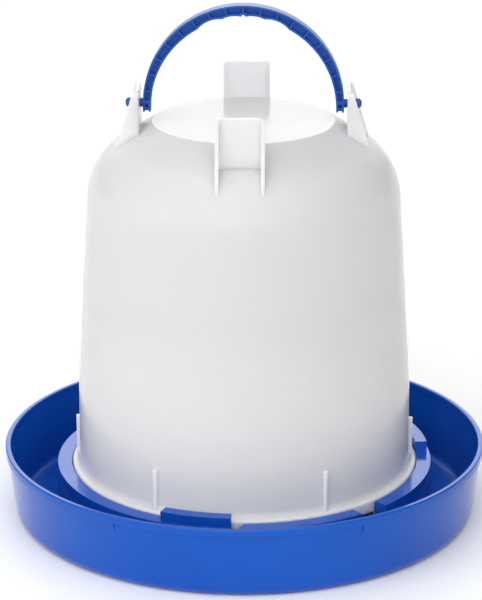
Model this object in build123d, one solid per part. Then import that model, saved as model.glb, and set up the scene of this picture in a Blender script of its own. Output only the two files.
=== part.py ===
"""Poultry waterer fount, nominal 12 litres: drinking tray, reservoir tank and carry handle.

Millimetres, +Z up.  The origin is the middle of the tray's underside, on the ground.
The front of the object faces -Y and the two pivot ears of the tank lie on the X axis.
An azimuth is counted in degrees from the front (-Y), counter-clockwise seen from above.
Each of the three mouldings is one node: tray, tank and handle.
"""
import os
from math import atan2, cos, degrees, radians, sin, sqrt, tan

from build123d import *

# ---------------------------------------------------------------- driving dimensions

# Tray: one moulding with a drinking trough round a central locking ring.
RIM_RADIUS = 185.2
TRAY_HEIGHT = 55.8
TRAY_WALL = 2.6
RIM_BAND_HEIGHT = 5.2
RIM_BAND_STEP = 1.6
RIM_WIDTH = 4.2
RIM_ROUND = 1.2
HEEL_RADIUS = 178.4
HEEL_ROUND = 9.0
WALL_TOP_RADIUS = RIM_RADIUS - RIM_BAND_STEP
CENTRE_LIFT = 3.0
DOME_RADIUS = 96.0
DOME_TOP_RADIUS = 69.0
DOME_RISE = 7.0
FLOOR_STEP = 3.0
FLOOR_RIBS = 12
FLOOR_RIB = 1.8
FLOOR_RIB_FOOT = 0.9
HUB = (14.0, 16.0)
NOTCH = (1.2, 7.0, 1.1)

# Locking ring: two ledges and two catches round the foot of the tank, with raised blocks.
RING_OUTER = 145.0
RING_INNER = 133.9
RING_WALL = 2.4
RING_FOOT = 1.0
LEDGE_TOP = 39.4
LEDGES = ((48.2, 177.6), (228.2, 357.6))
CATCH = (0.3, 39.6)
BLOCK_OUTER = 143.0
BLOCK_TOP = 47.2
BLOCKS = ((95.5, 117.2), (156.0, 177.6), (336.0, 357.6))
LEAD_IN = 2.6

# Tank: one moulding, open at the foot.
TANK_WALL = 2.6
SKIRT_RADIUS = 133.3
SKIRT_BOTTOM = 6.0
SKIRT_TOP = 41.2
WALL_FOOT_RADIUS = 127.8
WALL_KNEE = (127.4, 102.0)
WALL_TOP = (118.2, 253.0)
SHOULDER_ROUND = 52.0
SHOULDER_SLOPE = 31.5
DISC_RADIUS = 68.9
DISC_TOP = 309.8
DISC_RAMP = 0.9
RIB_WIDTH = 3.2
RIB_RADIUS = 130.4
RIB_TOP = 72.6
RIB_TURN = 29.3
RIB_AZIMUTHS = (-RIB_TURN, RIB_TURN, 90, 180 - RIB_TURN, 180 + RIB_TURN, 270)

# Bayonet tabs on the tank's skirt, two of them, under the catches of the ring.
TAB_TURN = 7.6
TAB_START = CATCH[0] + 1.1
TAB_RADIUS = 141.2
TAB_TOP = LEDGE_TOP - TRAY_WALL - 0.5
TAB_HEIGHT = 3.6

# Water outlets: arches in the skirt's edge behind the gaps of the ring.
OUTLET_WIDTH = 22.0
OUTLET_TOP = 31.5
OUTLET_ROUND = 4.0

# Ears and lugs on the shoulder: U-shaped channels that open outwards.
EAR_INNER = 77.5
EAR_TOP = 335.5
LUG_INNER = 86.6
LUG_TOP = 334.0
EAR_WIDTH = 36.4
LUG_WIDTH = 36.0
CHANNEL_HEIGHT = 62.0
CREST = 4.2
WEB = 2.5
FLANGE = 2.8
FLANGE_SLOPE = 0.292
CORNER_ROUND = 4.0

# Handle: an arch of I-section with cross ribs and four finger hollows.
PIVOT_Z = 322.8
HANDLE_RADIUS = 75.0
HANDLE_INNER = 69.1
HANDLE_DROP = 3.2
HANDLE_WIDTH = 11.0
HANDLE_WEB = 2.2
HANDLE_FLANGE = 1.5
LEG_END = 5.8
HANDLE_RIBS = 8
HANDLE_RIB_PITCH = 10.27
HANDLE_RIB = 1.1
FINGER_ROUND = 22.0
FINGERS = ((7.4, 67.5), (21.8, 68.1))
NOTCH_ROUND = 1.3
NOTCH_TOP = 68.0

# Pivot pins, moulded on the handle's legs and snapped into the ears.
PIN_RADIUS = 2.5
PIN_CLEARANCE = 0.08
COLLAR_RADIUS = 3.3
HEAD_RADIUS = 3.6
HEAD_END = 88.1
HEAD_SLIT = 1.4
SIDE_GAP = 0.3


# ---------------------------------------------------------------- helpers

def section(*points):
    """A closed face in the radial plane from (radius, height) points."""
    return make_face(Polyline([(r, 0, z) for r, z in points], close=True))


def turned(face, start=0.0, stop=360.0):
    """A face of the radial plane revolved from one azimuth to another."""
    return Rot(0, 0, start - 90) * revolve(face, Axis.Z, stop - start)


def ring(r0, r1, z0, z1, start=0.0, stop=360.0):
    """A rectangular section revolved between two azimuths."""
    return turned(section((r0, z0), (r1, z0), (r1, z1), (r0, z1)), start, stop)


def route(points):
    """The straight edges of the radial plane between successive (radius, height) points."""
    return [Line((a[0], 0, a[1]), (b[0], 0, b[1])) for a, b in zip(points[:-1], points[1:])]


def block(x0, x1, y0, y1, z0, z1):
    """A box between two corners."""
    size = (x1 - x0, y1 - y0, z1 - z0)
    return Pos((x0 + x1) / 2, (y0 + y1) / 2, (z0 + z1) / 2) * Box(*size)


def at_azimuth(shape, azimuth):
    """A shape modelled at +X, turned to an azimuth counted from the front."""
    return Rot(0, 0, azimuth - 90) * shape


def arc_length_turn(length, radius):
    """The turn in degrees that an arc length spans at a radius."""
    return degrees(length / radius)


# ---------------------------------------------------------------- tray

def dish():
    """The bowl: a trough that stands on the ground, a wall and a rim band."""
    band_foot = TRAY_HEIGHT - RIM_BAND_HEIGHT
    stand = HEEL_RADIUS - HEEL_ROUND
    heel_top = HEEL_ROUND * 0.93
    wall_in_top = WALL_TOP_RADIUS - TRAY_WALL
    wall_in_heel = HEEL_RADIUS - TRAY_WALL
    dome_top = CENTRE_LIFT + DOME_RISE
    step_out = RING_OUTER + FLOOR_STEP
    outside = [
        (0, dome_top), (DOME_TOP_RADIUS, dome_top), (DOME_RADIUS, CENTRE_LIFT),
        (RING_OUTER + 1, CENTRE_LIFT), (step_out, 0), (stand, 0),
    ]
    wall = [
        (HEEL_RADIUS, heel_top), (WALL_TOP_RADIUS, band_foot - 1), (RIM_RADIUS, band_foot),
        (RIM_RADIUS, TRAY_HEIGHT), (RIM_RADIUS - RIM_WIDTH, TRAY_HEIGHT), (wall_in_top, band_foot - 1),
        (wall_in_heel, HEEL_ROUND),
    ]
    inside = [
        (stand, TRAY_WALL), (step_out + 0.6, TRAY_WALL), (RING_OUTER, CENTRE_LIFT + TRAY_WALL),
        (DOME_RADIUS, CENTRE_LIFT + TRAY_WALL), (DOME_TOP_RADIUS, dome_top + TRAY_WALL),
        (0, dome_top + TRAY_WALL), (0, dome_top),
    ]
    heel_out = TangentArc((stand, 0, 0), (HEEL_RADIUS, 0, heel_top), tangent=(1, 0, 0))
    heel_in = TangentArc((stand, 0, TRAY_WALL), (wall_in_heel, 0, HEEL_ROUND), tangent=(1, 0, 0))
    edges = route(outside) + [heel_out] + route(wall) + [heel_in] + route(inside)
    return revolve(make_face(edges), Axis.Z)


def hollow_segment(start, stop, outer, top):
    """A ring segment of inverted-U section; its hollow is cut out by ring_hollow."""
    return ring(RING_INNER, outer, RING_FOOT, top, start, stop)


def ring_hollow(start, stop, outer, top):
    """The hollow under a segment, open to the ground, with end walls left standing."""
    end = arc_length_turn(RING_WALL, RING_OUTER)
    inner = RING_INNER + RING_WALL
    return ring(inner, outer - RING_WALL, -1, top - TRAY_WALL, start + end, stop - end)


def catch(turn):
    """A bayonet catch: lip, outer wall and a stop wall at the clockwise end."""
    start, stop = CATCH[0] + turn, CATCH[1] + turn
    stop_wall = arc_length_turn(RING_WALL, RING_OUTER)
    lip = ring(RING_INNER, RING_OUTER, LEDGE_TOP - TRAY_WALL, LEDGE_TOP, start, stop)
    wall = ring(RING_OUTER - RING_WALL, RING_OUTER, RING_FOOT, LEDGE_TOP, start, stop)
    stop_face = ring(RING_INNER, RING_OUTER, RING_FOOT, LEDGE_TOP, start, start + stop_wall)
    return lip + wall + stop_face - lead_in(start) - lead_in(stop)


def lead_in(azimuth):
    """A wedge that slopes the upper edge of a catch's end."""
    middle = (RING_INNER + RING_OUTER) / 2
    length = 2 * (RING_OUTER - RING_INNER)
    bar = Rot(45, 0, 0) * Box(length, LEAD_IN * sqrt(2), LEAD_IN * sqrt(2))
    return at_azimuth(Pos(middle, 0, LEDGE_TOP) * bar, azimuth)


def rim_notch(azimuth):
    """A short upright groove under the rim band."""
    width, height, depth = NOTCH
    top = TRAY_HEIGHT - RIM_BAND_HEIGHT - 0.2
    reach = (WALL_TOP_RADIUS - depth, WALL_TOP_RADIUS + 3)
    return at_azimuth(block(*reach, -width / 2, width / 2, top - height, top), azimuth)


def floor_rib(azimuth):
    """A stiffening rib under the raised middle of the floor."""
    half = FLOOR_RIB / 2
    start = HUB[1] - 0.5
    rib = block(start, RING_INNER - 0.5, -half, half, FLOOR_RIB_FOOT, CENTRE_LIFT + 0.5)
    step = block(start, DOME_TOP_RADIUS, -half, half, FLOOR_RIB_FOOT, CENTRE_LIFT + DOME_RISE + 0.5)
    return at_azimuth(rib + step, azimuth)


def make_tray():
    """The drinking tray with its locking ring."""
    body = dish()
    segments = [(*span, RING_OUTER, LEDGE_TOP) for span in LEDGES]
    segments += [(*span, BLOCK_OUTER, BLOCK_TOP) for span in BLOCKS]
    for segment in segments:
        body += hollow_segment(*segment)
    for segment in segments:
        body -= ring_hollow(*segment)
    for turn in (0, 180):
        body += catch(turn)
    body += ring(*HUB, FLOOR_RIB_FOOT, CENTRE_LIFT + DOME_RISE + 0.5)
    for index in range(FLOOR_RIBS):
        body += floor_rib(360 / FLOOR_RIBS * index)
    for azimuth in RIB_AZIMUTHS:
        body -= rim_notch(azimuth)
    rim_edges = body.edges().filter_by(GeomType.CIRCLE).filter_by_position(
        Axis.Z, TRAY_HEIGHT - 0.01, TRAY_HEIGHT + 0.01)
    return fillet(rim_edges, RIM_ROUND)


# ---------------------------------------------------------------- tank

def shoulder_points(inset):
    """Where the shoulder's arc meets the wall and the cone, moved in by a wall thickness."""
    wall_tilt = atan2(WALL_KNEE[0] - WALL_TOP[0], WALL_TOP[1] - WALL_KNEE[1])
    centre_r = WALL_TOP[0] - SHOULDER_ROUND * cos(wall_tilt)
    centre_z = WALL_TOP[1] - SHOULDER_ROUND * sin(wall_tilt)
    radius = SHOULDER_ROUND - inset
    slope = radians(SHOULDER_SLOPE)
    wall_end = (centre_r + radius * cos(wall_tilt), centre_z + radius * sin(wall_tilt))
    middle = (radians(90) - slope + wall_tilt) / 2
    mid = (centre_r + radius * cos(middle), centre_z + radius * sin(middle))
    cone_end = (centre_r + radius * sin(slope), centre_z + radius * cos(slope))
    return wall_end, mid, cone_end


def tank_form(inset, foot):
    """The solid inside the tank's outer skin (inset 0) or inside its inner skin."""
    wall_end, mid, cone_end = shoulder_points(inset)
    crest = DISC_TOP - inset
    disc_edge = DISC_RADIUS - inset * 0.6
    ramp_foot = disc_edge + DISC_RAMP
    cone_rise = (cone_end[0] - ramp_foot) * tan(radians(SHOULDER_SLOPE))
    skirt = SKIRT_RADIUS - inset
    shelf = SKIRT_TOP - inset * 0.6
    wall_foot = WALL_FOOT_RADIUS - inset
    flare = (wall_foot, shelf + skirt - 1 - wall_foot)
    lower = [(0, foot), (skirt, foot), (skirt, shelf - 1), (skirt - 1, shelf)]
    upper = [flare, (WALL_KNEE[0] - inset, WALL_KNEE[1]), wall_end]
    rest = [
        cone_end, (ramp_foot, cone_end[1] + cone_rise), (disc_edge, crest - 0.4),
        (disc_edge - 0.4, crest), (0, crest), (0, foot),
    ]
    blend = TangentArc((flare[0], 0, flare[1]), (skirt - 1, 0, shelf), tangent=(0, 0, -1))
    arc = ThreePointArc(*[(p[0], 0, p[1]) for p in (wall_end, mid, cone_end)])
    edges = route(lower) + [blend] + route(upper) + [arc] + route(rest)
    return revolve(make_face(edges), Axis.Z)


def channel_ear(inner, top, width):
    """An outward-opening channel at +X: an upright web and two sloping flanges."""
    low = top - CHANNEL_HEIGHT
    reach = CREST + (top - low) * FLANGE_SLOPE
    side = Polyline([(inner, 0, low), (inner + reach, 0, low), (inner + CREST, 0, top), (inner, 0, top)],
                    close=True)
    body = extrude(make_face(side), width / 2, dir=(0, 1, 0), both=True)
    crest_edges = body.edges().filter_by(Axis.X).filter_by_position(Axis.Z, top - 0.01, top + 0.01)
    body = fillet(crest_edges, CORNER_ROUND)
    half = width / 2 - FLANGE
    hollow = block(inner + WEB, inner + 40, -half, half, low - 1, top + 1)
    hollow = fillet(hollow.edges().filter_by(Axis.Z).sort_by(Axis.X)[:2], 1.5)
    return body - hollow


def foot_rib(azimuth):
    """An upright rib at the foot of the wall."""
    rib = block(SKIRT_RADIUS - 10, RIB_RADIUS, -RIB_WIDTH / 2, RIB_WIDTH / 2, SKIRT_TOP - 2, RIB_TOP)
    upright = rib.edges().filter_by(Axis.Z).sort_by(Axis.X)[-2:]
    return at_azimuth(fillet(upright, 0.7), azimuth)


def outlet(azimuth):
    """An arched water outlet through the skirt's edge."""
    arch = block(SKIRT_RADIUS - 8, SKIRT_RADIUS + 8, -OUTLET_WIDTH / 2, OUTLET_WIDTH / 2,
                 SKIRT_BOTTOM - 5, OUTLET_TOP)
    crown = arch.edges().filter_by(Axis.X).sort_by(Axis.Z)[-2:]
    return at_azimuth(fillet(crown, OUTLET_ROUND), azimuth)


def bayonet_tab(turn):
    """A tab that slides under a catch of the locking ring."""
    start = TAB_START + turn
    return ring(SKIRT_RADIUS - 1, TAB_RADIUS, TAB_TOP - TAB_HEIGHT, TAB_TOP, start, start + TAB_TURN)


def make_tank():
    """The reservoir tank."""
    hollow = tank_form(TANK_WALL, SKIRT_BOTTOM - 2)
    body = tank_form(0, SKIRT_BOTTOM)
    for side in (90, 270):
        body += at_azimuth(channel_ear(EAR_INNER, EAR_TOP, EAR_WIDTH), side)
    for side in (0, 180):
        body += at_azimuth(channel_ear(LUG_INNER, LUG_TOP, LUG_WIDTH), side)
    for azimuth in RIB_AZIMUTHS:
        body += foot_rib(azimuth)
    for turn in (0, 180):
        body += bayonet_tab(turn)
    body -= hollow
    for turn in (0, 180):
        body -= outlet((LEDGES[1][1] - 360 + CATCH[0]) / 2 + turn)
        body -= outlet((CATCH[1] + LEDGES[0][0]) / 2 + turn)
    pin_hole = Cylinder(PIN_RADIUS + PIN_CLEARANCE, 2 * EAR_INNER + 4 * WEB, rotation=(0, 90, 0))
    return body - Pos(0, 0, PIVOT_Z) * pin_hole


# ---------------------------------------------------------------- handle

def arch_outline(inset):
    """The arch in the XZ plane about the pivot, drawn in by an inset, as a 2-D sketch."""
    outer = HANDLE_RADIUS - inset
    inner = HANDLE_INNER + inset
    upper = Circle(outer) - Pos(0, -HANDLE_DROP) * Circle(inner)
    upper &= Pos(0, outer / 2 + 2.5) * Rectangle(2 * outer + 2, outer + 5)
    for side in (-1, 1):
        for angle, depth in FINGERS:
            reach = depth - FINGER_ROUND
            hollow = Circle(FINGER_ROUND + inset)
            upper -= Pos(side * reach * sin(radians(angle)), reach * cos(radians(angle))) * hollow
        leg_middle = side * (outer + inner) / 2
        upper += Pos(leg_middle, -LEG_END / 2) * Rectangle(outer - inner, LEG_END)
    return upper


def make_handle():
    """The carry handle with its snap-in pins, built about the pivot axis."""
    outline = arch_outline(0) - Pos(0, NOTCH_TOP - NOTCH_ROUND) * Circle(NOTCH_ROUND)
    outline -= Pos(0, NOTCH_TOP - 3 * NOTCH_ROUND) * Rectangle(2 * NOTCH_ROUND, 4 * NOTCH_ROUND)
    arch = extrude(Plane.XZ * outline, HANDLE_WIDTH / 2, both=True)
    pocket = arch_outline(HANDLE_FLANGE)
    pocket -= Pos(0, NOTCH_TOP) * Rectangle(4 * NOTCH_ROUND, 2 * HANDLE_FLANGE)
    for index in range(-HANDLE_RIBS, HANDLE_RIBS + 1):
        rib = Pos(0, HANDLE_RADIUS / 2 + 20) * Rectangle(HANDLE_RIB, HANDLE_RADIUS)
        pocket -= Rot(0, 0, index * HANDLE_RIB_PITCH) * rib
    for side in (-1, 1):
        pocket -= Pos(side * HANDLE_RADIUS, -LEG_END / 2) * Rectangle(40, HANDLE_RIB)
    recess = extrude(Plane.XZ * pocket, HANDLE_WIDTH)
    arch -= Pos(0, -HANDLE_WEB / 2, 0) * recess
    arch -= Pos(0, HANDLE_WEB / 2 + HANDLE_WIDTH, 0) * recess
    for side in (-1, 1):
        arch += Rot(0, 0, 90 - 90 * side) * pivot_pin()
    return Pos(0, 0, PIVOT_Z) * arch


def pivot_pin():
    """A pin at +X: boss in the leg, collar, journal and a slit snap head."""
    face_in = EAR_INNER - SIDE_GAP
    face_out = EAR_INNER + WEB + SIDE_GAP
    root = HANDLE_INNER + 1.0
    profile = Polyline([
        (root, 0), (root, COLLAR_RADIUS), (face_in, COLLAR_RADIUS), (face_in, PIN_RADIUS),
        (face_out, PIN_RADIUS), (face_out, HEAD_RADIUS), (HEAD_END - 1.5, HEAD_RADIUS),
        (HEAD_END, HEAD_RADIUS - 1.6), (HEAD_END, 0)], close=True)
    pin = revolve(make_face(profile), Axis.X)
    slit = block(face_out - 4, HEAD_END + 1, -HEAD_SLIT / 2, HEAD_SLIT / 2, -HEAD_RADIUS, HEAD_RADIUS)
    return pin - slit


# ---------------------------------------------------------------- output

def main():
    """Writes one file for each moulding."""
    os.makedirs("parts", exist_ok=True)
    for name, make in (("tray", make_tray), ("tank", make_tank), ("handle", make_handle)):
        shape = make()
        shape.label = name
        export_step(shape, f"parts/{name}.step")


main()
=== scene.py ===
"""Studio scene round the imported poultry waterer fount: materials, floor, lights and camera."""
import math

import bpy
from mathutils import Euler, Matrix, Vector

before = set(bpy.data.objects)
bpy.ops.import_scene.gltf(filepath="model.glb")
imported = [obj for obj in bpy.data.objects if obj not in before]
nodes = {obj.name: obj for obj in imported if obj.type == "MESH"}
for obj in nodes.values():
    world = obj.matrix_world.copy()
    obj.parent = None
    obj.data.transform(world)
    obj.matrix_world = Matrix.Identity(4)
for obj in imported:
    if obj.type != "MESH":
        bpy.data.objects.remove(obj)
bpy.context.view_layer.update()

# ---------------------------------------------------------------- camera

CAMERA_AWAY = 1.9799
CAMERA_HEIGHT = 0.8330
CAMERA_TURN = math.radians(1.6)
CAMERA_PITCH = math.radians(18.58)
CAMERA_ROLL = math.radians(-0.13)
SENSOR = 24.0
LENS = 109.25
FRAMING_SHIFT = -0.005


def make_camera():
    """The camera in front of the object, a little above it."""
    data = bpy.data.cameras.new("camera")
    data.sensor_fit = "VERTICAL"
    data.sensor_height = SENSOR
    data.lens = LENS
    data.shift_x = FRAMING_SHIFT
    camera = bpy.data.objects.new("camera", data)
    across, back = CAMERA_AWAY * math.sin(CAMERA_TURN), CAMERA_AWAY * math.cos(CAMERA_TURN)
    camera.location = (across, -back, CAMERA_HEIGHT)
    aim = Euler((math.radians(90) - CAMERA_PITCH, 0, CAMERA_TURN)).to_matrix()
    camera.rotation_euler = (aim @ Matrix.Rotation(CAMERA_ROLL, 3, "Z")).to_euler()
    bpy.context.collection.objects.link(camera)
    bpy.context.scene.camera = camera


# ---------------------------------------------------------------- materials

CLOUD_SCALE = 14.0
CLOUD_DETAIL = 3.0
GLOSS_SCALE = 45.0
GLOSS_DETAIL = 4.0
SKIN_SCALE = 900.0
SKIN_DEPTH = 0.0002
HEIGHT_DRIFT = 0.1
OVERALL_HEIGHT = 0.4


def new_material(name):
    """A node material with one shader; returns the material, its node tree and the shader."""
    material = bpy.data.materials.new(name)
    material.use_nodes = True
    tree = material.node_tree
    tree.nodes.clear()
    output = tree.nodes.new("ShaderNodeOutputMaterial")
    shader = tree.nodes.new("ShaderNodeBsdfPrincipled")
    tree.links.new(shader.outputs["BSDF"], output.inputs["Surface"])
    return material, tree, shader


def noise(tree, scale, detail=2.0):
    """A noise texture on the object's own coordinates, in cycles per metre."""
    place = tree.nodes.new("ShaderNodeTexCoord")
    texture = tree.nodes.new("ShaderNodeTexNoise")
    texture.inputs["Scale"].default_value = scale
    texture.inputs["Detail"].default_value = detail
    tree.links.new(place.outputs["Object"], texture.inputs["Vector"])
    return texture


def ramp(tree, factor, stops):
    """A colour ramp through (position, colour) stops."""
    node = tree.nodes.new("ShaderNodeValToRGB")
    elements = node.color_ramp.elements
    for position, colour in stops[2:]:
        elements.new(position)
    for element, (position, colour) in zip(elements, stops):
        element.position = position
        element.color = (*colour, 1)
    tree.links.new(factor, node.inputs["Fac"])
    return node.outputs["Color"]


def between(tree, factor, low, high):
    """A number that a factor from 0 to 1 moves between two values."""
    node = tree.nodes.new("ShaderNodeMapRange")
    node.inputs["To Min"].default_value = low
    node.inputs["To Max"].default_value = high
    tree.links.new(factor, node.inputs["Value"])
    return node.outputs["Result"]


def maths(tree, operation, first, second=0.0):
    """A maths node on a socket and a second socket or number."""
    node = tree.nodes.new("ShaderNodeMath")
    node.operation = operation
    for socket, value in zip(node.inputs, (first, second)):
        if isinstance(value, (int, float)):
            socket.default_value = value
        else:
            tree.links.new(value, socket)
    return node.outputs["Value"]


def by_height(tree, factor, tall):
    """The share of a whole height that a point stands at, moved a little by a factor from 0 to 1."""
    place = tree.nodes.new("ShaderNodeTexCoord")
    axes = tree.nodes.new("ShaderNodeSeparateXYZ")
    tree.links.new(place.outputs["Object"], axes.inputs["Vector"])
    share = maths(tree, "DIVIDE", axes.outputs["Z"], tall)
    drift = maths(tree, "MULTIPLY", maths(tree, "SUBTRACT", factor, 0.5), HEIGHT_DRIFT)
    return maths(tree, "ADD", share, drift)


def moulded(name, stops, rough, bump, edge, extras, tall=None):
    """Moulded plastic: faint clouding, uneven gloss, a fine skin and softened edges of one radius."""
    material, tree, shader = new_material(name)
    factor = noise(tree, CLOUD_SCALE, CLOUD_DETAIL).outputs["Fac"]
    # With a height given, the colour ramp follows height, so its stops paint light and shade by
    # height.
    if tall:
        factor = by_height(tree, factor, tall)
    tree.links.new(ramp(tree, factor, stops), shader.inputs["Base Color"])
    gloss = noise(tree, GLOSS_SCALE, GLOSS_DETAIL)
    tree.links.new(between(tree, gloss.outputs["Fac"], *rough), shader.inputs["Roughness"])
    skin = noise(tree, SKIN_SCALE)
    relief = tree.nodes.new("ShaderNodeBump")
    relief.inputs["Strength"].default_value = bump
    relief.inputs["Distance"].default_value = SKIN_DEPTH
    tree.links.new(skin.outputs["Fac"], relief.inputs["Height"])
    corner = tree.nodes.new("ShaderNodeBevel")
    corner.inputs["Radius"].default_value = edge
    tree.links.new(corner.outputs["Normal"], relief.inputs["Normal"])
    tree.links.new(relief.outputs["Normal"], shader.inputs["Normal"])
    for socket, value in extras.items():
        shader.inputs[socket].default_value = value
    return material


def linear(red, green, blue):
    """Linear colour from an 8-bit screen colour."""
    values = [c / 255 for c in (red, green, blue)]
    return tuple(v / 12.92 if v <= 0.04045 else ((v + 0.055) / 1.055) ** 2.4 for v in values)


def paint(node, material):
    """Gives a node one material."""
    mesh = nodes[node].data
    mesh.materials.clear()
    mesh.materials.append(material)


tray_blue = moulded(
    "tray_blue",
    stops=((0.35, linear(14, 76, 172)), (0.65, linear(17, 81, 180))),
    rough=(0.10, 0.18), bump=0.05, edge=0.0008,
    extras={"IOR": 1.5, "Specular Tint": (0.4, 0.6, 1.0, 1.0)})
handle_blue = moulded(
    "handle_blue",
    stops=((0.35, linear(22, 73, 160)), (0.65, linear(26, 79, 168))),
    rough=(0.24, 0.36), bump=0.1, edge=0.0004,
    extras={"IOR": 1.5, "Specular Tint": (0.5, 0.7, 1.0, 1.0)})
# Painted light and shade: the base colour is paler towards the foot, standing in for light glowing
# through the thin translucent wall, and darker on the lugs above the shoulder as painted shade.
tank_milky = moulded(
    "tank_milky",
    stops=((0.07, linear(246, 245, 246)), (0.45, linear(220, 218, 220)),
           (0.72, linear(222, 220, 222)), (0.79, linear(210, 208, 210))),
    rough=(0.14, 0.22), bump=0.06, edge=0.0008,
    extras={"IOR": 1.3, "Subsurface Weight": 1.0, "Subsurface Scale": 0.01,
            "Subsurface Radius": (1.0, 1.0, 1.0)},
    tall=OVERALL_HEIGHT)
paint("tray", tray_blue)
paint("tank", tank_milky)
paint("handle", handle_blue)

# ---------------------------------------------------------------- studio

FLOOR_HALF = 60.0
FLOOR_ROUGHNESS = 0.9
FLOOR_CLOUD_SCALE = 2.0
GLOW_FALL = 9.0
BASE_GLOW = 0.02
# Each patch of light is (azimuth, elevation, amount).
FRONT_GLOW = ((0, 12, 1.4), (-10, 34, 1.7), (30, 34, 0.6), (0, 65, 0.8))
SIDE_GLOW = ((-70, 34, 0.88), (-60, 65, 0.4), (60, 52, 0.3), (0, 90, 0.8))
BACK_GLOW = ((180, 21, 2.3), (-150, 30, 0.4))
AIM_POINT = Vector((0, 0, 0.18))
BOX_WIDTH = 0.9
BOX_HEIGHT = 0.6


def make_floor():
    """A wide pale floor."""
    mesh = bpy.data.meshes.new("floor")
    corners = [(x * FLOOR_HALF, y * FLOOR_HALF, 0) for x, y in ((-1, -1), (1, -1), (1, 1), (-1, 1))]
    mesh.from_pydata(corners, [], [(0, 1, 2, 3)])
    floor = bpy.data.objects.new("floor", mesh)
    bpy.context.collection.objects.link(floor)
    material, tree, shader = new_material("floor_paint")
    shader.inputs["Roughness"].default_value = FLOOR_ROUGHNESS
    clouds = noise(tree, FLOOR_CLOUD_SCALE)
    stops = ((0.3, linear(249, 249, 249)), (0.7, linear(252, 252, 252)))
    colour = ramp(tree, clouds.outputs["Fac"], stops)
    tree.links.new(colour, shader.inputs["Base Color"])
    mesh.materials.append(material)


def towards(azimuth, elevation):
    """The unit direction of an azimuth, counted from the front towards +X, and an elevation."""
    turn, lift = math.radians(azimuth), math.radians(elevation)
    return Vector((math.sin(turn) * math.cos(lift), -math.cos(turn) * math.cos(lift), math.sin(lift)))


def area_light(name, azimuth, elevation, away, power):
    """A soft box that faces the object; its azimuth is counted from the front, towards +X."""
    data = bpy.data.lights.new(name, "AREA")
    data.shape = "RECTANGLE"
    data.size, data.size_y = BOX_WIDTH, BOX_HEIGHT
    data.energy = power
    light = bpy.data.objects.new(name, data)
    out = towards(azimuth, elevation)
    light.location = AIM_POINT + out * away
    light.rotation_euler = (-out).to_track_quat("-Z", "Y").to_euler()
    bpy.context.collection.objects.link(light)


def glow(tree, direction, azimuth, elevation, amount):
    """A soft round patch of light in the surround."""
    toward = tree.nodes.new("ShaderNodeVectorMath")
    toward.operation = "DOT_PRODUCT"
    toward.inputs[1].default_value = towards(azimuth, elevation)
    tree.links.new(direction, toward.inputs[0])
    fall = maths(tree, "MULTIPLY", maths(tree, "SUBTRACT", toward.outputs["Value"], 1.0), GLOW_FALL)
    return maths(tree, "MULTIPLY", maths(tree, "EXPONENT", fall), amount)


def make_world(patches):
    """A studio surround of large soft patches of white light, each (azimuth, elevation, amount)."""
    world = bpy.data.worlds.new("studio")
    world.use_nodes = True
    tree = world.node_tree
    direction = tree.nodes.new("ShaderNodeTexCoord").outputs["Generated"]
    total = maths(tree, "ADD", glow(tree, direction, *patches[0]), BASE_GLOW)
    for patch in patches[1:]:
        total = maths(tree, "ADD", total, glow(tree, direction, *patch))
    tree.links.new(total, tree.nodes["Background"].inputs["Strength"])
    tree.nodes["Background"].inputs["Color"].default_value = (1, 1, 1, 1)
    bpy.context.scene.world = world


make_floor()
make_camera()
make_world(FRONT_GLOW + SIDE_GLOW + BACK_GLOW)
area_light("left_box", azimuth=-60, elevation=14, away=2.0, power=4.0)
area_light("right_box", azimuth=44, elevation=13, away=2.2, power=0.3)
bpy.context.scene.view_settings.view_transform = "Standard"
bpy.context.scene.cycles.diffuse_bounces = 16
bpy.context.scene.cycles.max_bounces = 24
